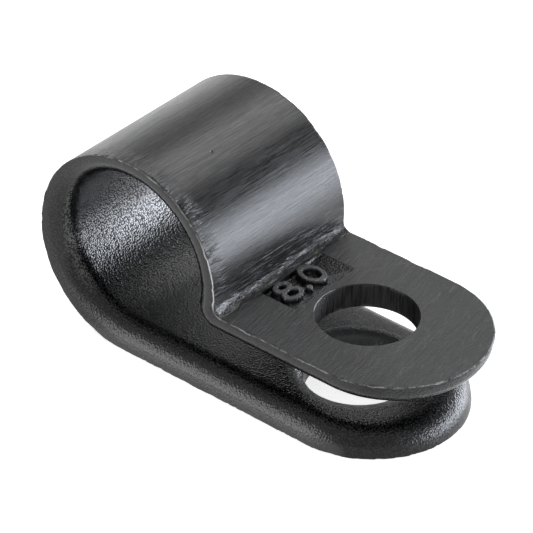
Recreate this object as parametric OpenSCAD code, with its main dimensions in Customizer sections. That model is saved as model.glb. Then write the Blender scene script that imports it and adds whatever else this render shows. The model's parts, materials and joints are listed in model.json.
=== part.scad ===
// P clip: one moulded nylon strap, looped round a cable and turned out into two
// ears that a single screw draws together. It stands on the flat lower ear.
// The screw hole of the lower ear stands on the origin, the underside is z = 0,
// the cable lies along Y, and the loop is on the -X side. Sizes in millimetres.

/* [Cable loop] */
// Diameter of the cable bore
bore_d = 7.94; // [6:0.01:12]
// Bend of the heel, as a share of the loop's plain outer radius
heel_bend = 0.96; // [0.94:0.01:1]
// Bend of the back, as a share of the loop's plain outer radius
back_bend = 1.045; // [1:0.005:1.06]
// Bend of the neck, as a share of the loop's plain outer radius
neck_bend = 0.98; // [0.96:0.01:1]
// How far the heel's arc is centred behind the bore's axis
heel_shift = 0.28; // [0:0.02:0.4]
// Angle below the bore's axis at which the neck turns out into the upper ear
neck_angle = 8.5; // [4:0.5:20]

/* [Strap] */
// Width of the strap, along the cable
strap_w = 9.5; // [8:0.1:14]
// Thickness of the loop and of the upper ear
ear_t = 1.3; // [1.2:0.05:1.8]
// Thickness of the lower ear
leg_t = 1.4; // [1.3:0.05:2]
// Radius on the inner edges of the strap, which lets the cable out without a nick
edge_r = 1.2; // [0.6:0.05:1.2]
// Fillet between the loop and the top of the upper ear
corner_r = 0.45; // [0.2:0.05:0.8]

/* [Screw holes] */
// Diameter of the screw holes in both ears
hole_d = 4.85; // [3:0.05:5]
// Distance from the bore's axis to the lower ear's hole
reach = 10.1; // [9.5:0.1:16]
// How far the upper hole stands ahead of the lower one until the screw is drawn up
spring_shift = 0.45; // [0:0.05:0.8]
// Radius of the bell mouth on the lower hole's inner side
mouth_r = 0.75; // [0.3:0.05:1]

/* [Ear ends] */
// Distance from the lower hole to the centre of the lower ear's round end
leg_end = 0.75; // [0:0.05:3]
// Distance from the upper hole to the centre of the upper ear's round end
ear_end = 1.4; // [0:0.05:3]

/* [Size panel] */
// Length of the sunk panel, from the loop towards the hole
panel_l = 2; // [1:0.1:2.2]
// Width of the sunk panel
panel_w = 4.4; // [2:0.1:6]
// Depth of the sunk panel
panel_depth = 0.22; // [0.1:0.02:0.4]
// Shift of the panel off the strap's middle
panel_shift = 0.3; // [-0.5:0.1:0.5]

/* [Hidden] */
$fn = 96;

moulded_black = [0.13, 0.13, 0.135];

// how far a cutter runs past the face it opens
clear = 1;
// how deep a round piece bites into the face that it runs into
bite = 0.01;
// angle over which a piece of an arc runs on inside the piece that it joins
run_on = 30;

bore_r = bore_d / 2;
hole_r = hole_d / 2;
half_w = strap_w / 2;

// the bore touches the lower ear's top, and its axis is one reach behind the hole
bore_x = -reach;
bore_z = leg_t + bore_r;

// outer radii of the three arcs that make the loop
plain_r = bore_r + ear_t;
heel_r = heel_bend * plain_r;
back_r = back_bend * plain_r;
neck_r = neck_bend * plain_r;

// directions at which one arc runs into the next
ground_dir = 270;
heel_dir = 184;
back_dir = 86;
neck_dir = -neck_angle;

// each arc's centre lies on the line through the last one's centre and their joint
heel_x = bore_x - heel_shift;
heel_at = [heel_x, heel_r];
back_at = heel_at + (heel_r - back_r) * [cos(heel_dir), sin(heel_dir)];
neck_at = back_at + (back_r - neck_r) * [cos(back_dir), sin(back_dir)];

// the neck bends about the corner where the loop meets the upper ear's top
bend_at = [bore_x, bore_z] + (bore_r + ear_t - bite) * [cos(neck_dir), sin(neck_dir)];
ear_top = bend_at[1];
upper_hole_x = spring_shift;

// centre of the corner fillet, outside the loop and above the ear
fillet_reach = neck_r + corner_r - bite;
fillet_rise = ear_top + corner_r - bite - neck_at[1];
fillet_at = neck_at + [sqrt(pow(fillet_reach, 2) - pow(fillet_rise, 2)), fillet_rise];

// how far the fillet's solid reaches into the strap, inside its square edges
root = (ear_t - edge_r) / 2;

panel_x = fillet_at[0] + root;

// what an inward-facing edge loses to its rounding: the edge is at [0, 0], with
// the material on its -x and -y sides
module edge_waste(r) {
    difference() {
        translate([-r, -r]) square(r + clear);
        translate([-r, -r]) circle(r);
    }
}

// cross-section of the strap: width along x, outer face on y = 0
module strap_section(t) {
    difference() {
        translate([-half_w, 0]) square([strap_w, t]);
        translate([half_w, t]) edge_waste(edge_r);
        mirror([1, 0]) translate([half_w, t]) edge_waste(edge_r);
    }
}

// half of that cross-section, for turning
module half_section(t) {
    intersection() {
        strap_section(t);
        translate([0, -clear]) square([strap_w, t + 2 * clear]);
    }
}

// turns a shape drawn in x and y about an axis along Y, at a point of the XZ plane
module about(at) {
    translate([at[0], 0, at[1]]) rotate([90, 0, 0]) children();
}

// slice of a disc between two directions less than half a turn apart
module slice(r, from, to) {
    middle = (from + to) / 2;
    far = 2 * r;
    intersection() {
        circle(r);
        polygon([[0, 0], far * [cos(from), sin(from)],
                 far * [cos(middle), sin(middle)], far * [cos(to), sin(to)]]);
    }
}

// flat ear with its outer face on z = 0 and a round end centred at x = to
module ear(from, to, t) {
    translate([from, 0, 0]) rotate([90, 0, 90]) linear_extrude(to - from) strap_section(t);
    translate([to, 0, 0]) rotate_extrude(angle = 180, start = -90) half_section(t);
}

// side view of the loop, filled in
module loop_outline() {
    translate(heel_at) slice(heel_r, heel_dir - run_on, ground_dir);
    translate(back_at) slice(back_r, back_dir, heel_dir);
    translate(neck_at) slice(neck_r, neck_dir - run_on, back_dir + run_on);
    translate([heel_x, 0]) square([bore_x - heel_x, heel_r]);
}

// what is cut from the loop's side view between its neck and the lower ear
module throat_wedge() {
    far = 3 * plain_r;
    translate([bore_x, bore_z])
        polygon([[0, 0], [0, -far], [far, -far], far * [cos(neck_dir), sin(neck_dir)]]);
}

// the cable's bore, flared at both ends
module bore_waste() {
    about([bore_x, bore_z]) rotate_extrude() {
        translate([0, -half_w - clear]) square([bore_r, strap_w + 2 * clear]);
        for (side = [0, 1])
            mirror([0, side]) translate([bore_r, half_w]) mirror([1, 0]) edge_waste(edge_r);
    }
}

module loop() {
    difference() {
        about([0, 0]) linear_extrude(strap_w, center = true) difference() {
            loop_outline();
            throat_wedge();
        }
        bore_waste();
    }
}

// the neck's bend, from the loop's bore round to the underside of the upper ear
module neck_bend_solid() {
    about(bend_at)
        rotate_extrude(start = 180 + neck_dir - run_on, angle = 90 - neck_dir + run_on)
            difference() {
                translate([0, -half_w]) square([ear_t, strap_w]);
                for (side = [0, 1])
                    mirror([0, side]) translate([ear_t, half_w]) edge_waste(edge_r);
            }
}

// the small fillet along the corner between the loop and the upper ear
module corner_fillet() {
    to_neck = (neck_at - fillet_at) / fillet_reach;
    floor_z = ear_top - root;
    about([0, 0]) linear_extrude(strap_w, center = true) difference() {
        polygon([[bend_at[0], floor_z], [fillet_at[0], floor_z], fillet_at,
                 fillet_at + (corner_r + root) * to_neck]);
        translate(fillet_at) circle(corner_r);
    }
}

module lower_hole() {
    rotate_extrude() {
        translate([0, -clear]) square([hole_r, leg_t + 2 * clear]);
        translate([hole_r, leg_t]) mirror([1, 0]) edge_waste(mouth_r);
    }
}

module upper_hole() {
    translate([upper_hole_x, 0, ear_top - ear_t - clear]) cylinder(h = ear_t + 2 * clear, r = hole_r);
}

module size_panel() {
    translate([panel_x, panel_shift - panel_w / 2, ear_top - panel_depth])
        cube([panel_l, panel_w, panel_depth + clear]);
}

module clip_body() {
    color(moulded_black) difference() {
        union() {
            loop();
            neck_bend_solid();
            corner_fillet();
            ear(bore_x, leg_end, leg_t);
            translate([0, 0, ear_top]) mirror([0, 0, 1])
                ear(bend_at[0], upper_hole_x + ear_end, ear_t);
        }
        lower_hole();
        upper_hole();
        size_panel();
    }
}

clip_body();
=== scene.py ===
import json
from math import atan2, ceil, cos, degrees, hypot, pi, radians, sin, sqrt

import bmesh
import bpy
import numpy as np
from mathutils import Matrix, Vector, noise


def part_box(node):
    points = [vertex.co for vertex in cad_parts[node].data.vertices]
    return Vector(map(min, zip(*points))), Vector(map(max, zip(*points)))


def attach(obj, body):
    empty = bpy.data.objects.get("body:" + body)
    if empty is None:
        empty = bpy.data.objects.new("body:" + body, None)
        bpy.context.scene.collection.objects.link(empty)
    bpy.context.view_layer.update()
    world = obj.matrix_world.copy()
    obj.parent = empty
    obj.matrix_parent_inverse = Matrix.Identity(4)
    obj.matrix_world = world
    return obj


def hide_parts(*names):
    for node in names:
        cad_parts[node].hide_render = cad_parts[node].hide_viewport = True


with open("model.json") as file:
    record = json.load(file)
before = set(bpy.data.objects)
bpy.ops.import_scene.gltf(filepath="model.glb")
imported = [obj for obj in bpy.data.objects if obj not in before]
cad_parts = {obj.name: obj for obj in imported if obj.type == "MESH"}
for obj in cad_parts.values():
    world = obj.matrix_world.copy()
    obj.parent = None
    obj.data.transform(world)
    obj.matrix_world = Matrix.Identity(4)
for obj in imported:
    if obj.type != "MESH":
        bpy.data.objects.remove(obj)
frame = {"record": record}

# The clip is one moulded strap. Its detailed surface is laid over the CAD model's own
# sizes: the strap is a flat plate with rounded inner edges, bent round the cable's bore.
# Lengths are in millimetres until the mesh is made.
MM = 0.001

# ---------------------------------------------------------------- sizes from the frame
LOW, HIGH = [np.array([v / MM for v in corner]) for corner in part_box("clip_body")]
MOUNTS = {m["name"]: m for m in frame["record"]["mounts"]}
HALF_W = (HIGH[1] - LOW[1]) / 2
BORE_R = MOUNTS["cable_loop"]["dims"]["r_mm"]
BORE_AT = np.array([MOUNTS["cable_loop"]["pos_m"][0], MOUNTS["cable_loop"]["pos_m"][2]]) / MM
LEG_HOLE_X = MOUNTS["lower_screw_hole"]["pos_m"][0] / MM
EAR_HOLE_X = MOUNTS["upper_screw_hole"]["pos_m"][0] / MM
HOLE_R = MOUNTS["upper_screw_hole"]["dims"]["r_mm"]

# ---------------------------------------------------------------- sizes as in the CAD source
EAR_T = 1.3
EDGE_R = 1.2
MOUTH_R = 0.75
CORNER_R = 0.45
NECK_ANGLE = 8.5
BITE = 0.01
HEEL_SHIFT = 0.28
BENDS = {"heel": 0.96, "back": 1.045, "neck": 0.98}
HEEL_DIR, BACK_DIR, GROUND_DIR = 184, 86, 270
PANEL_L, PANEL_W, PANEL_DEPTH, PANEL_SHIFT = 2.0, 4.4, 0.22, 0.3
LEG_END, EAR_END = 0.75, 1.4

LEG_T = BORE_AT[1] - BORE_R
LEG_END_X = LEG_HOLE_X + LEG_END
EAR_END_X = EAR_HOLE_X + EAR_END

# ---------------------------------------------------------------- how fine the surface is
STEP = 0.15
ARC_TURN = 5
NECK_TURN = 2
EDGE_STEPS = 9
WALL_STEPS = 9
PANEL_GRID = 0.03
WELD = 0.002
SHARP_ANGLE = 38

# ---------------------------------------------------------------- wear
# The parting edge is worn to a narrow, uneven rim, which stays within CALM of the edge.
# The faces' own unevenness fades out over CALM, so that neighbouring faces still meet.
RIM = 0.045
WIDEST_RIM = 0.085
HOLE_RIM = 0.035
CALM = 0.3
CORNER_LUMPS, ROUGH_LUMPS, SMOOTH_LUMPS = 0.05, 0.006, 0.003

# Where the strap's flat ends pass into the ears: just clear of the hole and of the panel.
LEG_SEAM_GAP, EAR_SEAM_GAP, PANEL_GAP = 0.2, 0.14, 0.04

# Materials, in the order of the mesh's slots.
KINDS = ("barrel", "top", "corner", "under", "inner", "wall", "panel", "figure", "rim")
BARREL, TOP, CORNER, UNDER, INNER, WALL, PANEL, FIGURE, RIM_KIND = range(len(KINDS))


def heading(angle):
    """Unit vector in the side view, from an angle in degrees."""
    return np.array([cos(radians(angle)), sin(radians(angle))])


def direction_to(point):
    """Direction of a point as seen from the bore's axis, from -90 to 270 degrees."""
    angle = degrees(atan2(point[1] - BORE_AT[1], point[0] - BORE_AT[0]))
    return angle + 360 if angle < -90 else angle


def loop_arcs():
    """The three arcs of the loop's outer side: (start, end, centre, radius), heel first."""
    plain = BORE_R + EAR_T
    radius = {name: share * plain for name, share in BENDS.items()}
    heel = np.array([BORE_AT[0] - HEEL_SHIFT, radius["heel"]])
    back = heel + (radius["heel"] - radius["back"]) * heading(HEEL_DIR)
    neck = back + (radius["back"] - radius["neck"]) * heading(BACK_DIR)
    heel_joint = direction_to(heel + radius["heel"] * heading(HEEL_DIR))
    back_joint = direction_to(neck + radius["neck"] * heading(BACK_DIR))
    return [
        (GROUND_DIR, heel_joint, heel, radius["heel"]),
        (heel_joint, back_joint, back, radius["back"]),
        (back_joint, -90, neck, radius["neck"]),
    ]


ARCS = loop_arcs()
NECK_AT, NECK_R = ARCS[2][2], ARCS[2][3]
BEND_AT = BORE_AT + (BORE_R + EAR_T - BITE) * heading(-NECK_ANGLE)
EAR_TOP = BEND_AT[1]


def fillet_centre():
    """Centre of the small fillet between the loop and the upper ear."""
    rise = EAR_TOP + CORNER_R - NECK_AT[1]
    return NECK_AT + np.array([sqrt((NECK_R + CORNER_R) ** 2 - rise**2), rise])


FILLET_AT = fillet_centre()
PANEL_X = FILLET_AT[0] + PANEL_GAP
LEG_SEAM = LEG_HOLE_X - HOLE_R - MOUTH_R - LEG_SEAM_GAP
EAR_SEAM = PANEL_X + PANEL_L + EAR_SEAM_GAP


def loop_outside(angle):
    """Point of the loop's outer side, seen from the bore's axis at this angle.

    Ahead of the heel's lowest point, the outer side is the flat underside.
    """
    ray = heading(angle)
    for start, end, centre, radius in ARCS:
        if end <= angle <= start:
            offset = centre - BORE_AT
            along = float(offset @ ray)
            point = BORE_AT + (along + sqrt(along**2 - offset @ offset + radius**2)) * ray
            if angle > 180 and point[0] > centre[0]:
                point = BORE_AT + BORE_AT[1] / -ray[1] * ray
            return point


def steps(start, end, step):
    """Evenly spaced values from start to end, both included."""
    return np.linspace(start, end, max(1, ceil(abs(end - start) / step)) + 1)


def side_view():
    """Matching outer and inner points of the bent strap, from the leg's seam to the ear's.

    Each row also tells the material of the outer side.
    """
    rows = [((x, 0.0), (x, LEG_T), UNDER) for x in steps(LEG_SEAM, BORE_AT[0], STEP)]
    tangent = NECK_AT + NECK_R * (FILLET_AT - NECK_AT) / (NECK_R + CORNER_R)
    corner = direction_to(tangent)
    arc_step = degrees(STEP / (BORE_R + EAR_T))
    for angle in steps(GROUND_DIR, corner, arc_step)[1:]:
        rows.append((loop_outside(angle), BORE_AT + BORE_R * heading(angle), BARREL))
    rows += [(outer, inner, CORNER) for outer, inner in corner_rows(corner, tangent)]
    ends = (FILLET_AT[0], PANEL_X, PANEL_X + PANEL_L, EAR_SEAM)
    for start, end in zip(ends, ends[1:]):
        rows += [((x, EAR_TOP), (x, EAR_TOP - EAR_T), TOP) for x in steps(start, end, STEP)[1:]]
    outer, inner, kinds = zip(*rows)
    return np.array(outer), np.array(inner), kinds


def corner_rows(corner, tangent):
    """The neck: outside runs round the fillet while inside runs round the neck's bend."""
    inner = [BORE_AT + BORE_R * heading(a) for a in steps(corner, -NECK_ANGLE, NECK_TURN)[1:]]
    inner += [BEND_AT + EAR_T * heading(a) for a in steps(180 - NECK_ANGLE, 270, ARC_TURN)[1:]]
    inner += [np.array([x, EAR_TOP - EAR_T]) for x in steps(BEND_AT[0], FILLET_AT[0], STEP)[1:]]
    spoke = tangent - FILLET_AT
    first = degrees(atan2(spoke[1], spoke[0])) % 360
    turn = np.linspace(first, 270, len(inner) + 1)[1:]
    return [(FILLET_AT + CORNER_R * heading(a), i) for a, i in zip(turn, inner)]


def round_off(edge, radius):
    """How far a rounded edge falls below its face, at this distance from the edge."""
    inside = min(max(radius - edge, 0), radius)
    return radius - sqrt(radius**2 - inside**2)


def worn(edge, place):
    """How far the outer face's nicked rim falls below the face, at this distance from it."""
    if edge > CALM:
        return 0.0
    here = Vector(place)
    wave = noise.noise(here * 1.3) + 0.7 * noise.noise(here * 5.0)
    nick = max(0.0, noise.noise(here * 3.1 + Vector((7, 3, 1))) - 0.3)
    width = min(WIDEST_RIM, RIM * (1 + 0.8 * wave) + 0.4 * nick)
    return max(0.0, width - edge)


def lumps(place, kind):
    """Shallow unevenness of each kind of surface, always into the material."""
    here = Vector(place)
    if kind == CORNER:
        wave = noise.noise(Vector((here.x * 5, here.y * 3.2, here.z * 5)))
        return CORNER_LUMPS * max(0.0, wave)
    if kind in (INNER, WALL):
        return ROUGH_LUMPS * (1 + noise.noise(here * 4.0))
    wave = noise.noise(Vector((here.x * 2.2, here.y * 0.35, here.z * 2.2)))
    return SMOOTH_LUMPS * (1 + wave)


def edge_places():
    """Distances from a rounded edge at which its surface is cut into strips.

    The first strip is the worn rim, and the curve's steps begin clear of it.
    """
    curve = [EDGE_R * (1 - cos(pi / 2 * k / EDGE_STEPS)) for k in range(1, EDGE_STEPS + 1)]
    return [0.0, RIM] + [d for d in curve if d > 1.5 * RIM]


def across():
    """Places across the strap. The panel's two sides lie on the lines between its cells."""
    near = [d - HALF_W for d in edge_places()]
    sides = (near[-1], PANEL_SHIFT - PANEL_W / 2, PANEL_SHIFT + PANEL_W / 2, -near[-1])
    middle = [w for a, b in zip(sides, sides[1:]) for w in steps(a, b, STEP)[1:]]
    return near + middle[:-1] + [-w for w in reversed(near)]


ACROSS = across()


class Moulding:
    """Collects the mesh: points, quads and each quad's material."""

    def __init__(self):
        self.points, self.quads, self.kinds = [], [], []

    def sheet(self, rows, kind, closed=False, flip=False):
        """Adds a sheet of quads. A kind may be a function of the cell and may say None."""
        base, width = len(self.points), len(rows[0])
        for row in rows:
            self.points.extend(tuple(float(v) for v in p) for p in row)
        for i in range(len(rows) - 1):
            for j in range(width if closed else width - 1):
                chosen = kind(i, j) if callable(kind) else kind
                if chosen is None:
                    continue
                a, b = base + i * width + j, base + i * width + (j + 1) % width
                quad = (a, b, b + width, a + width)
                self.quads.append(quad[::-1] if flip else quad)
                self.kinds.append(chosen)


def into_material(points, side):
    """Unit vectors into the strap at each point of one side of the side view."""
    tangent = np.gradient(points, axis=0)
    tangent /= np.linalg.norm(tangent, axis=1)[:, None]
    return side * np.stack([tangent[:, 1], -tangent[:, 0]], axis=1)


def add_strip(mould):
    """The bent strap between the two ears' seams, with the panel's place left open."""
    outer, inner, kinds = side_view()
    outer_in, inner_in = into_material(outer, 1), into_material(inner, -1)
    outside, inside = [], []
    for o, i, o_in, i_in, kind in zip(outer, inner, outer_in, inner_in, kinds):
        top, bottom = [], []
        for w in ACROSS:
            edge = HALF_W - abs(w)
            place = (o[0], w, o[1])
            sunk = worn(edge, place) + lumps(place, kind) * min(1, edge / CALM)
            top.append((o[0] + sunk * o_in[0], w, o[1] + sunk * o_in[1]))
            sunk = round_off(edge, EDGE_R) + lumps((i[0], w, i[1]), INNER) * min(1, edge / CALM)
            bottom.append((i[0] + sunk * i_in[0], w, i[1] + sunk * i_in[1]))
        outside.append(top)
        inside.append(bottom)

    def outer_kind(row, column):
        middle_x = (outer[row][0] + outer[row + 1][0]) / 2
        in_length = kinds[row + 1] == TOP and PANEL_X < middle_x < PANEL_X + PANEL_L
        w = (ACROSS[column] + ACROSS[column + 1]) / 2
        if in_length and abs(w - PANEL_SHIFT) < PANEL_W / 2:
            return None
        return RIM_KIND if column in (0, len(ACROSS) - 2) else kinds[row + 1]

    mould.sheet(outside, outer_kind, flip=True)
    mould.sheet(inside, INNER)
    for side in (0, -1):
        lands = [(o[side], i[side]) for o, i in zip(outside, inside)]
        mould.sheet(lands, INNER, flip=side == -1)


def plan_outline(seam_x, end_x):
    """Points round an ear in plan: over the seam, along a side, round the end and back."""
    turn = steps(-90, 90, degrees(STEP / HALF_W))
    points = [(seam_x, w) for w in reversed(ACROSS)]
    points += [(x, -HALF_W) for x in steps(seam_x, end_x, STEP)[1:-1]]
    points += [(end_x + HALF_W * cos(radians(a)), HALF_W * sin(radians(a))) for a in turn]
    points += [(x, HALF_W) for x in steps(end_x, seam_x, STEP)[1:-1]]
    return points


def edge_distance(x, y, end_x):
    """Distance in plan from the ear's free outline."""
    return HALF_W - (abs(y) if x <= end_x else hypot(x - end_x, y))


def ear_row(outline, share, hole, face, end_x):
    """Points of an ear's face, this share of the way from its outline to the hole's rim."""
    height, inward, radius, kind = face
    row = []
    for px, py in outline:
        bearing = atan2(py, px - hole)
        qx, qy = hole + radius * cos(bearing), radius * sin(bearing)
        x, y = px + share * (qx - px), py + share * (qy - py)
        edge = max(0.0, edge_distance(x, y, end_x))
        calm = min(1, edge / CALM) if share < 1 else 0
        sunk = round_off(edge, EDGE_R) if kind == INNER else worn(edge, (x, y, height))
        sunk += calm * lumps((x, y, height), kind)
        row.append((x, y, height + inward * sunk))
    return row


def add_ear(mould, seam_x, hole_x, end_x, faces):
    """One ear: its two faces and the land along its side. Returns the hole's two rims.

    faces gives, for the outer and the inner face: height, direction into the material,
    hole radius at that face, and material.
    """
    outline = plan_outline(seam_x, end_x)
    free = len(ACROSS) - 1
    rims = []
    for face in faces:
        inward, radius, kind = face[1:]
        places = edge_places()
        reach = HALF_W - radius
        places += list(steps(places[-1], reach, STEP))[1:]
        rows = [ear_row(outline, place / reach, hole_x, face, end_x) for place in places]

        def cell_kind(i, j, own=kind):
            return RIM_KIND if i == 0 and j >= free and own != INNER else own

        mould.sheet(rows, cell_kind, closed=True, flip=inward > 0)
        rims.append(rows)
    land = [rows[0][free:] + rows[0][:1] for rows in rims]
    mould.sheet(land, INNER, flip=faces[0][1] < 0)
    return rims[0][-1], rims[1][-1]


def add_hole_wall(mould, hole_x, outer_rim, inner_rim, profile):
    """The wall of a screw hole, from the outer face's rim to the inner face's."""
    rows = [outer_rim]
    for radius, height in profile:
        row = []
        for x, y, _ in outer_rim:
            bearing = atan2(y, x - hole_x)
            rough = lumps((x, y, height), WALL)
            row.append((hole_x + (radius + rough) * cos(bearing),
                        (radius + rough) * sin(bearing), height))
        rows.append(row)
    rows.append(inner_rim)
    straight = sum(radius == HOLE_R for radius, _ in profile)
    mould.sheet(rows, lambda i, j: WALL if i <= straight else INNER, closed=True,
                flip=outer_rim[0][2] < inner_rim[0][2])


# ---------------------------------------------------------------- panel
# A plain number stands on the panel's rough floor, its head towards the loop: 8.0.
# Its sizes are in millimetres on the panel, u along the cable and v towards the loop.
# The floor's roughness is a share of its depth, and the number's is in millimetres.
STROKE = 0.1
STROKE_SLOPE = 0.05
PROUD = 0.1
FIGURE_V = 0.2
POINT_R = 0.05
NEAR_SLOPE, FAR_SLOPE = 0.06, 1.6
PANEL_ROUGH, FIGURE_ROUGH = 0.12, 0.012


def ring(u, v, u0, v0, half_u, half_v):
    """Distance of (u, v) from an upright oval."""
    scale = hypot((u - u0) / half_u, (v - v0) / half_v)
    return abs(scale - 1) * min(half_u, half_v)


def figure_distance(u, v):
    """Distance from the middle line of the number's strokes."""
    v -= FIGURE_V
    upper = ring(u, v, -1.3, 0.31, 0.38, 0.28)
    lower = ring(u, v, -1.3, -0.33, 0.46, 0.34)
    point = hypot(u + 0.42, v + 0.6) - POINT_R
    zero = ring(u, v, 0.5, 0.0, 0.48, 0.64)
    return min(upper, lower, point, zero)


def panel_height(x, y):
    """How far the panel's surface lies below the ear's face, or above it if negative."""
    u, v = y - PANEL_SHIFT, PANEL_X + PANEL_L / 2 - x
    here = Vector((x * 7, y * 7, 0))
    near = min(PANEL_L / 2 - abs(v), PANEL_W / 2 + u)
    far = PANEL_W / 2 - u
    floor = PANEL_DEPTH * min(1, max(0, near) / NEAR_SLOPE) * min(1, max(0, far) / FAR_SLOPE)
    floor *= 1 - PANEL_ROUGH * abs(noise.noise(here))
    rise = (STROKE + STROKE_SLOPE - figure_distance(u, v)) / STROKE_SLOPE
    rise = min(1, max(0, rise))
    return floor * (1 - rise) - rise * (PROUD + FIGURE_ROUGH * noise.noise(here * 0.7))


def add_panel(mould):
    """The sunk panel on the ear's face, with its raised number."""
    xs = steps(PANEL_X, PANEL_X + PANEL_L, PANEL_GRID)
    ys = steps(PANEL_SHIFT - PANEL_W / 2, PANEL_SHIFT + PANEL_W / 2, PANEL_GRID)
    rows = [[(x, y, EAR_TOP - panel_height(x, y)) for y in ys] for x in xs]

    def cell_kind(i, j):
        u = (ys[j] + ys[j + 1]) / 2 - PANEL_SHIFT
        v = PANEL_X + PANEL_L / 2 - (xs[i] + xs[i + 1]) / 2
        return FIGURE if figure_distance(u, v) < STROKE + STROKE_SLOPE else PANEL

    mould.sheet(rows, cell_kind, flip=True)


def mould_clip():
    """The whole moulding: the bent strap, both ears with their holes, and the panel."""
    mould = Moulding()
    add_strip(mould)
    ear_faces = [(EAR_TOP, -1, HOLE_R + HOLE_RIM, TOP),
                 (EAR_TOP - EAR_T, 1, HOLE_R + HOLE_RIM, INNER)]
    rims = add_ear(mould, EAR_SEAM, EAR_HOLE_X, EAR_END_X, ear_faces)
    heights = steps(EAR_TOP - HOLE_RIM, EAR_TOP - EAR_T + HOLE_RIM, EAR_T / WALL_STEPS)
    add_hole_wall(mould, EAR_HOLE_X, *rims, [(HOLE_R, z) for z in heights])
    leg_faces = [(0.0, 1, HOLE_R + HOLE_RIM, UNDER), (LEG_T, -1, HOLE_R + MOUTH_R, INNER)]
    rims = add_ear(mould, LEG_SEAM, LEG_HOLE_X, LEG_END_X, leg_faces)
    add_hole_wall(mould, LEG_HOLE_X, *rims, bell_profile())
    add_panel(mould)
    return mould


def bell_profile():
    """Radius and height up the lower hole: a straight wall, then the bell mouth."""
    foot = LEG_T - MOUTH_R
    wall = [(HOLE_R, z) for z in steps(HOLE_RIM, foot, STEP)]
    for turn in steps(0, 90, 90 / WALL_STEPS)[1:-1]:
        flare = MOUTH_R * (1 - cos(radians(turn)))
        wall.append((HOLE_R + flare, foot + MOUTH_R * sin(radians(turn))))
    return wall


def clip_object(mould, materials):
    """Turns the collected moulding into the Blender object that stands for the clip."""
    points = np.clip(np.array(mould.points), LOW, HIGH) * MM
    mesh = bpy.data.meshes.new("clip_moulding")
    mesh.from_pydata(points.tolist(), [], mould.quads)
    for material in materials:
        mesh.materials.append(material)
    mesh.polygons.foreach_set("material_index", mould.kinds)
    work = bmesh.new()
    work.from_mesh(mesh)
    bmesh.ops.remove_doubles(work, verts=work.verts, dist=WELD * MM)
    work.to_mesh(mesh)
    work.free()
    mesh.shade_smooth()
    mesh.set_sharp_from_angle(angle=radians(SHARP_ANGLE))
    clip = bpy.data.objects.new("clip_moulding", mesh)
    bpy.context.scene.collection.objects.link(clip)
    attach(clip, "root")
    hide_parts("clip_body")


# ---------------------------------------------------------------- finishes
class Finish:
    """A black nylon surface, built up node by node. Frequencies are per millimetre."""

    def __init__(self, name, color, roughness):
        self.material = bpy.data.materials.new(name)
        self.material.use_nodes = True
        self.nodes = self.material.node_tree.nodes
        self.links = self.material.node_tree.links
        self.shader = self.nodes["Principled BSDF"]
        self.shader.inputs["Base Color"].default_value = (*color, 1)
        self.shader.inputs["Roughness"].default_value = roughness
        self.place = self.nodes.new("ShaderNodeTexCoord").outputs["Object"]
        self.normal = None

    def node(self, kind, **inputs):
        made = self.nodes.new(kind)
        for name, value in inputs.items():
            self.feed(made.inputs[name.replace("_", " ")], value)
        return made

    def feed(self, socket, value):
        """Links a node's output to a socket, or sets the socket to a plain value."""
        if isinstance(value, bpy.types.NodeSocket):
            self.links.new(value, socket)
        else:
            socket.default_value = value

    def math(self, operation, first, second=0.0):
        made = self.nodes.new("ShaderNodeMath")
        made.operation = operation
        self.feed(made.inputs[0], first)
        self.feed(made.inputs[1], second)
        return made.outputs[0]

    def stretched(self, per_mm, turned=0.0):
        """The surface's own coordinates, in millimetres, scaled along each axis."""
        turn = self.node("ShaderNodeMapping", Vector=self.place,
                         Rotation=(0, 0, radians(turned)))
        return self.node("ShaderNodeMapping", Vector=turn.outputs[0],
                         Scale=tuple(f / MM for f in per_mm)).outputs[0]

    def noise(self, per_mm, detail=2.0, rough=0.5, turned=0.0):
        """Cloudy noise between 0 and 1."""
        made = self.node("ShaderNodeTexNoise", Vector=self.stretched(per_mm, turned),
                         Scale=1.0, Detail=detail, Roughness=rough)
        return made.outputs["Fac"]

    def spots(self, per_mm):
        """Distance from the middle of scattered cells."""
        made = self.node("ShaderNodeTexVoronoi", Vector=self.stretched(per_mm), Scale=1.0)
        return made.outputs["Distance"]

    def ramp(self, value, low, high, to_low=0.0, to_high=1.0):
        """Maps low..high on to to_low..to_high, and stops at both ends."""
        made = self.node("ShaderNodeMapRange", Value=value)
        for index, number in enumerate((low, high, to_low, to_high), 1):
            self.feed(made.inputs[index], number)
        return made.outputs[0]

    def axis(self, name):
        """One of the surface's own coordinates, in millimetres."""
        split = self.node("ShaderNodeSeparateXYZ", Vector=self.place)
        return self.math("DIVIDE", split.outputs[name], MM)

    def bump(self, height, depth):
        """Adds relief: depth is the height of a full step, in millimetres."""
        made = self.node("ShaderNodeBump", Height=height, Strength=1.0, Distance=depth * MM)
        if self.normal is not None:
            self.links.new(self.normal, made.inputs["Normal"])
        self.normal = made.outputs[0]

    def tint(self, amount, dark, light):
        """Base colour between two greys."""
        mix = self.nodes.new("ShaderNodeMix")
        mix.data_type = "RGBA"
        self.feed(mix.inputs["Factor"], amount)
        mix.inputs[6].default_value = (*dark, 1)
        mix.inputs[7].default_value = (*light, 1)
        self.links.new(mix.outputs[2], self.shader.inputs["Base Color"])

    def done(self, roughness=None):
        if roughness is not None:
            self.links.new(roughness, self.shader.inputs["Roughness"])
        if self.normal is not None:
            self.links.new(self.normal, self.shader.inputs["Normal"])
            self.links.new(self.normal, self.shader.inputs["Coat Normal"])
        return self.material


BLACK = (0.008, 0.0082, 0.0084)
DUSTY = (0.02, 0.0205, 0.021)

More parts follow.
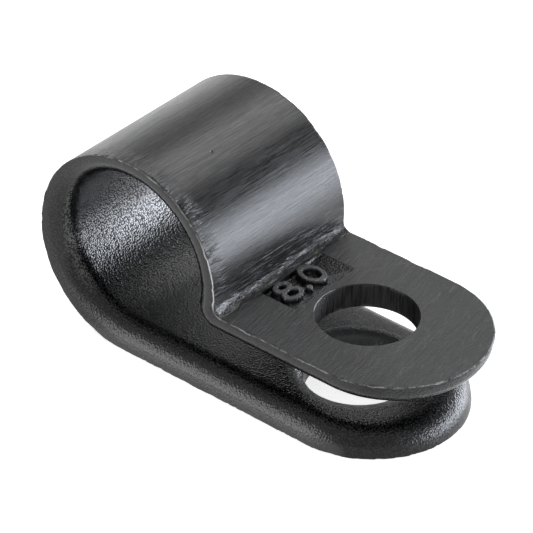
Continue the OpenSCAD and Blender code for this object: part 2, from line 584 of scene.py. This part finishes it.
# Places on the surface, in millimetres: the ejector pin's mark on the barrel, the
# barrel's foot by the ear, and the bell mouth round the lower hole, where painted light
# lifts its shade.
PIN_MARK = (-8.1, -1.05, 10.27)
PIN_R, PIN_EDGE = 0.03, 0.09
FOOT_Z, FOOT_X = (6.3, 5.4), (-6.5, -5.5)
BELL_PAINTED_LIGHT = (3.35, 3.1)
SPARK_DEPTH = 0.018


def barrel_finish():
    """Drawn off the core: fine lines along the axis, a satin gloss and a few specks."""
    finish = Finish("barrel", BLACK, 0.3)
    lines = finish.noise((16, 0.35, 16), 3, 0.6)
    hair = finish.noise((48, 1.2, 48), 2, 0.6)
    finish.bump(lines, 0.0035)
    finish.bump(hair, 0.004)
    near_rim = finish.ramp(finish.axis("Y"), -HALF_W + 1.1, -HALF_W + 0.2)
    scuffs = finish.ramp(finish.noise((8, 1.2, 8), 3), 0.48, 0.6)
    finish.bump(finish.math("MULTIPLY", scuffs, near_rim), 0.03)
    foot = finish.math("MULTIPLY", finish.ramp(finish.axis("Z"), *FOOT_Z),
                       finish.ramp(finish.axis("X"), *FOOT_X))
    crumpled = finish.ramp(finish.noise((9, 1.6, 9), 3, 0.65), 0.56, 0.72)
    finish.bump(finish.math("MULTIPLY", crumpled, foot), 0.03)
    scored = finish.ramp(finish.noise((9, 0.12, 9), 2), 0.62, 0.68)
    finish.bump(finish.math("MULTIPLY", scored, foot), 0.03)
    pin = finish.node("ShaderNodeVectorMath", Vector=finish.place)
    pin.operation = "DISTANCE"
    pin.inputs[1].default_value = [v * MM for v in PIN_MARK]
    finish.bump(finish.ramp(pin.outputs["Value"], PIN_R * MM, PIN_EDGE * MM), 0.06)
    finish.bump(finish.ramp(finish.spots((1.7, 1.7, 1.7)), 0.035, 0.02), 0.02)
    cloud = finish.noise((0.5, 0.3, 0.5), 2)
    scratches = finish.ramp(finish.noise((9, 0.6, 9), 4, 0.75), 0.5, 0.68)
    finish.tint(finish.math("MULTIPLY", cloud, scratches), (0.003, 0.003, 0.003),
                (0.065, 0.066, 0.068))
    worn_lines = finish.math("ADD", lines, hair)
    return finish.done(finish.ramp(worn_lines, 0.8, 1.2, 0.2, 0.4))


def top_finish(name="top"):
    """The ears' outer faces: flat, brushed and scored by fine slanting scratches."""
    finish = Finish(name, BLACK, 0.45)
    first = finish.noise((11, 0.5, 1), 3, 0.65, turned=-8)
    finish.bump(first, 0.032)
    finish.bump(finish.noise((16, 0.8, 1), 3, 0.65, turned=14), 0.026)
    finish.bump(finish.noise((14, 14, 14), 2), 0.005)
    marks = finish.ramp(finish.noise((7, 1.1, 1), 4, 0.7, turned=-20), 0.56, 0.7)
    scores = finish.ramp(finish.noise((10, 0.5, 1), 4, 0.75, turned=35), 0.6, 0.72)
    finish.tint(finish.math("MAXIMUM", marks, scores), (0.01, 0.0103, 0.0106),
                (0.05, 0.051, 0.053))
    return finish.done(finish.ramp(first, 0.3, 0.7, 0.34, 0.5))


def corner_finish():
    """The pinched band where the loop meets the ear: lumpy, with broken glints, its base colour
    darkened as painted shade in the crease.
    """
    # The base colour, darker than BLACK, is painted shade in the crease.
    finish = Finish("corner", (0.004, 0.004, 0.004), 0.3)
    finish.shader.inputs["Specular IOR Level"].default_value = 0.2
    finish.shader.inputs["Coat Roughness"].default_value = 0.1
    finish.bump(finish.noise((4, 1.4, 4), 4, 0.6), 0.09)
    wrinkles = finish.noise((12, 3, 12), 3, 0.7)
    finish.bump(wrinkles, 0.012)
    near_end = finish.ramp(finish.axis("Y"), -HALF_W + 1.8, -HALF_W + 0.9)
    broken = finish.ramp(finish.noise((6, 0.9, 6), 4, 0.7), 0.5, 0.62)
    finish.feed(finish.shader.inputs["Coat Weight"],
                finish.math("MAXIMUM", broken, near_end))
    return finish.done(finish.ramp(wrinkles, 0.3, 0.7, 0.2, 0.4))


def spark_finish(name, depth):
    """Surfaces left by a spark-eroded core: pits with a glossy skin, calmer at the sides.

    The skin lies on the bore's back and the leg's end, and thinly on the strap's sides.
    """
    finish = Finish(name, BLACK, 0.3)
    finish.shader.inputs["Specular IOR Level"].default_value = 0.35
    finish.shader.inputs["Coat Roughness"].default_value = 0.06
    finish.shader.inputs["Coat IOR"].default_value = 1.7
    x, y, z = (finish.axis(letter) for letter in "XYZ")
    cells = finish.spots((10.5, 10.5, 10.5))
    pits = finish.math("POWER", cells, 2.0)
    crumbs = finish.noise((24, 24, 24), 1, 0.5)
    side = finish.math("ABSOLUTE", y)
    least = finish.ramp(z, 1.5, 3.0, 0.75, 0.3)
    calm = finish.ramp(side, HALF_W - 1.25, HALF_W - 0.45, 1.0, least)
    finish.bump(finish.math("MULTIPLY", pits, calm), depth)
    finish.bump(finish.math("MULTIPLY", crumbs, calm), depth * 0.3)
    faces = finish.ramp(side, HALF_W - 0.5, HALF_W - 0.3)
    finish.feed(finish.shader.inputs["Coat Weight"], skin(finish, cells, faces, x, z))
    # Painted glints: pale dots at the pits' middles. Between them the base is near black,
    # darker than BLACK, as painted shade on these inner and sunk surfaces.
    glints = finish.ramp(pits, 0.22, 0.02)
    painted_glints_and_bell_light = finish.math("MULTIPLY", glints, finish.math("MAXIMUM", faces, 0.7))
    # Painted light on the bell mouth round the lower hole: its base colour is lighter, to lift
    # its shade.
    from_hole = finish.math("SQRT", finish.math(
        "ADD", finish.math("MULTIPLY", x, x), finish.math("MULTIPLY", y, y)))
    painted_glints_and_bell_light = finish.math("MAXIMUM", painted_glints_and_bell_light, finish.ramp(from_hole, *BELL_PAINTED_LIGHT, 0.0, 2.0))
    finish.tint(painted_glints_and_bell_light, (0.001, 0.001, 0.001), (0.036, 0.0364, 0.0368))
    return finish.done(finish.ramp(crumbs, 0.3, 0.7, 0.08, 0.22))


def skin(finish, cells, faces, x, z):
    """How glossy the pitted surface's skin is: on the pits inside, all over on the sides.

    faces is 1 on the strap's sides and 0 inside.
    """
    glossy = finish.math("MAXIMUM", finish.ramp(x, -12.4, -13.4),
                         finish.ramp(x, 4.3, 5.0, 0.0, 0.2))
    facets = finish.ramp(cells, 0.6, 0.42)
    # On the sides the coat is glossier towards the bottom, as rubbed gloss.
    rubbed_gloss_and_painted_light = finish.ramp(z, 0.4, 0.8, 0.5, 0.1)
    inside = finish.math("MULTIPLY", finish.math("MULTIPLY", glossy, facets),
                         finish.math("SUBTRACT", 1.0, faces))
    return finish.math("ADD", inside, finish.math("MULTIPLY", faces, rubbed_gloss_and_painted_light))


def wall_finish():
    """Walls of the screw holes: dark, drawn along the hole."""
    finish = Finish("wall", BLACK, 0.3)
    drag = finish.noise((12, 12, 0.7), 3, 0.6)
    finish.bump(drag, 0.016)
    finish.tint(finish.ramp(drag, 0.45, 0.7), (0.004, 0.004, 0.004), DUSTY)
    return finish.done(finish.ramp(drag, 0.3, 0.7, 0.22, 0.4))


def figure_finish():
    """Strokes of the raised number: smoother than the floor they stand on, with painted
    highlight on their tops and painted shade on their slopes.
    """
    finish = Finish("figure", BLACK, 0.3)
    grain = finish.noise((9, 9, 9), 3, 0.6)
    finish.bump(grain, 0.012)
    # Painted highlight on the strokes' tops and painted shade on their slopes: the base colour
    # gets lighter with height.
    rubbed_gloss_and_painted_light = finish.ramp(finish.axis("Z"), EAR_TOP - 0.02, EAR_TOP + 0.08)
    finish.tint(rubbed_gloss_and_painted_light, (0.004, 0.004, 0.004), (0.06, 0.06, 0.062))
    return finish.done(finish.ramp(grain, 0.3, 0.7, 0.2, 0.36))


def rim_finish():
    """The parting edge: a thin, torn line, paler than the faces it joins. The paleness is
    partly the flash line's own whitening and partly a painted highlight along the edge; low on
    the loop's right, by the neck, it is a bright painted highlight.
    """
    finish = Finish("rim", BLACK, 0.24)
    torn = finish.noise((1.5, 1.5, 1.5), 5, 0.75)
    finish.bump(finish.noise((9, 9, 9), 3, 0.7), 0.03)
    # A bright painted highlight on the loop's rim low on its right, by the neck, where a burr
    # would catch the window lamp.
    low = finish.ramp(finish.axis("Z"), 8.6, 7.4)
    neck = finish.ramp(finish.axis("X"), -7.4, -6.4)
    loop = finish.ramp(finish.axis("Z"), 4.7, 5.2)
    painted_rim_highlight = finish.math("MULTIPLY", finish.math("MULTIPLY", low, neck), loop)
    pale_and_painted_highlight = finish.math("MAXIMUM", finish.ramp(torn, 0.42, 0.6, 0.0, 0.4), painted_rim_highlight)
    finish.tint(pale_and_painted_highlight, (0.03, 0.031, 0.032), (0.6, 0.6, 0.6))
    return finish.done()


FINISHES = {
    "barrel": barrel_finish,
    "top": top_finish,
    "corner": corner_finish,
    "under": lambda: top_finish("under"),
    "inner": lambda: spark_finish("inner", SPARK_DEPTH),
    "wall": wall_finish,
    "panel": lambda: spark_finish("panel", SPARK_DEPTH),
    "figure": figure_finish,
    "rim": rim_finish,
}

# ---------------------------------------------------------------- stage
# Angles in degrees, distance and lens in millimetres. The camera looks at LOOK_AT, and
# the lamps are aimed at the clip's MIDDLE.
CAMERA = dict(azimuth=39.2, elevation=34.6, roll=1.32, distance=173.4, lens=250.8)
LOOK_AT = Vector((-5.83, 0.34, 4.2))
SENSOR = 36
MIDDLE = Vector((-5, 0, 4))

# Soft boxes: name, bearing from +X, elevation, width and height, brightness and colour.
LAMPS = [
    ("window", 55, 10, (700, 140), 9.5, (0.86, 0.91, 1)),
    ("overhead", 98, 52, (260, 180), 3, (1, 1, 1)),
    ("left", -124, 13, (320, 170), 3.2, (1, 1, 1)),
    ("back", 145, 9, (260, 120), 0.8, (1, 1, 1)),
]
LAMP_DISTANCE = 400

# The surroundings' level, and the bearing and elevation of their one darker quarter. It
# is darkest inside its core. Edge and core are cosines of the angle from its middle.
SURROUNDINGS = 0.68
DARK_QUARTER = (60, 42)
DARKEST = 0.25
QUARTER_EDGE, QUARTER_CORE = 0.78, 0.97

# The floor reaches this far each way. White that the camera sees on it besides its own
# light, and the share of that which mirrored rays see.
FLOOR_REACH = 1000
FLOOR_GREY, FLOOR_ROUGHNESS = 0.8, 0.14
FLOOR_WHITE, MIRRORED_SHARE = 0.7, 0.6


def set_camera():
    """Camera at the photograph's angle. Its azimuth is measured from -Y towards +X."""
    back = aim_at(CAMERA["azimuth"] - 90, CAMERA["elevation"])
    camera = bpy.data.objects.new("camera", bpy.data.cameras.new("camera"))
    bpy.context.scene.collection.objects.link(camera)
    turn = back.to_track_quat("Z", "Y").to_matrix().to_4x4()
    roll = Matrix.Rotation(radians(CAMERA["roll"]), 4, "Z")
    place = Matrix.Translation((LOOK_AT + back * CAMERA["distance"]) * MM)
    camera.matrix_world = place @ turn @ roll
    camera.data.lens = CAMERA["lens"]
    camera.data.sensor_width = SENSOR
    camera.data.clip_start = MM
    bpy.context.scene.camera = camera


def aim_at(side, height):
    """Unit vector towards a bearing from +X and an elevation, in degrees."""
    bearing, rise = radians(side), radians(height)
    return Vector((cos(bearing) * cos(rise), sin(bearing) * cos(rise), sin(rise)))


def add_lamp(name, side, height, size, brightness, color):
    """A soft box aimed at the clip, as bright to look at whatever its size."""
    aim = aim_at(side, height)
    lamp = bpy.data.lights.new(name, "AREA")
    lamp.shape = "RECTANGLE"
    lamp.size, lamp.size_y = size[0] * MM, size[1] * MM
    lamp.energy = brightness * pi * lamp.size * lamp.size_y
    lamp.color = color
    box = bpy.data.objects.new(name, lamp)
    bpy.context.scene.collection.objects.link(box)
    turn = aim.to_track_quat("Z", "Y").to_matrix().to_4x4()
    box.matrix_world = Matrix.Translation((MIDDLE + aim * LAMP_DISTANCE) * MM) @ turn


def math_node(tree, operation, first, second):
    """A math node on two sockets, or on a socket and a number."""
    made = tree.nodes.new("ShaderNodeMath")
    made.operation = operation
    for socket, value in zip(made.inputs, (first, second)):
        if isinstance(value, bpy.types.NodeSocket):
            tree.links.new(value, socket)
        else:
            socket.default_value = value
    return made.outputs[0]


def white_for_camera(tree, lit):
    """Adds white that only the camera and mirrored rays see to a shader."""
    path = tree.nodes.new("ShaderNodeLightPath")
    mirrored = math_node(tree, "MULTIPLY", path.outputs["Is Glossy Ray"], MIRRORED_SHARE)
    either = math_node(tree, "MAXIMUM", path.outputs["Is Camera Ray"], mirrored)
    glow = tree.nodes.new("ShaderNodeEmission")
    tree.links.new(math_node(tree, "MULTIPLY", either, FLOOR_WHITE), glow.inputs["Strength"])
    both = tree.nodes.new("ShaderNodeAddShader")
    tree.links.new(lit, both.inputs[0])
    tree.links.new(glow.outputs[0], both.inputs[1])
    return both.outputs[0]


def add_floor():
    """A plain white floor that keeps the clip's soft shadow."""
    mesh = bpy.data.meshes.new("floor")
    reach = FLOOR_REACH * MM
    corners = [(-reach, -reach, 0), (reach, -reach, 0), (reach, reach, 0), (-reach, reach, 0)]
    mesh.from_pydata(corners, [], [(0, 1, 2, 3)])
    floor = bpy.data.objects.new("floor", mesh)
    bpy.context.scene.collection.objects.link(floor)
    material = bpy.data.materials.new("floor")
    material.use_nodes = True
    tree = material.node_tree
    shader = tree.nodes["Principled BSDF"]
    shader.inputs["Base Color"].default_value = (FLOOR_GREY, FLOOR_GREY, FLOOR_GREY, 1)
    shader.inputs["Roughness"].default_value = FLOOR_ROUGHNESS
    lit = white_for_camera(tree, shader.outputs[0])
    tree.links.new(lit, tree.nodes["Material Output"].inputs["Surface"])
    mesh.materials.append(material)


def set_world():
    """Even pale surroundings with one darker quarter. The camera sees plain white."""
    world = bpy.data.worlds.new("world")
    world.use_nodes = True
    tree = world.node_tree
    around = tree.nodes["Background"]
    around.inputs["Color"].default_value = (1, 1, 1, 1)
    towards = tree.nodes.new("ShaderNodeVectorMath")
    towards.operation = "DOT_PRODUCT"
    towards.inputs[1].default_value = aim_at(*DARK_QUARTER)
    place = tree.nodes.new("ShaderNodeTexCoord")
    tree.links.new(place.outputs["Generated"], towards.inputs[0])
    shade = tree.nodes.new("ShaderNodeMapRange")
    shade.interpolation_type = "SMOOTHSTEP"
    for name, value in (("From Min", QUARTER_EDGE), ("From Max", QUARTER_CORE),
                        ("To Min", SURROUNDINGS), ("To Max", DARKEST * SURROUNDINGS)):
        shade.inputs[name].default_value = value
    tree.links.new(towards.outputs["Value"], shade.inputs["Value"])
    path = tree.nodes.new("ShaderNodeLightPath")
    level = tree.nodes.new("ShaderNodeMapRange")
    tree.links.new(path.outputs["Is Camera Ray"], level.inputs["Value"])
    tree.links.new(shade.outputs[0], level.inputs["To Min"])
    tree.links.new(level.outputs[0], around.inputs["Strength"])
    bpy.context.scene.world = world


def main():
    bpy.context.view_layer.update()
    clip_object(mould_clip(), [FINISHES[kind]() for kind in KINDS])
    add_floor()
    set_world()
    for lamp in LAMPS:
        add_lamp(*lamp)
    set_camera()
    bpy.context.scene.view_settings.view_transform = "Standard"


main()
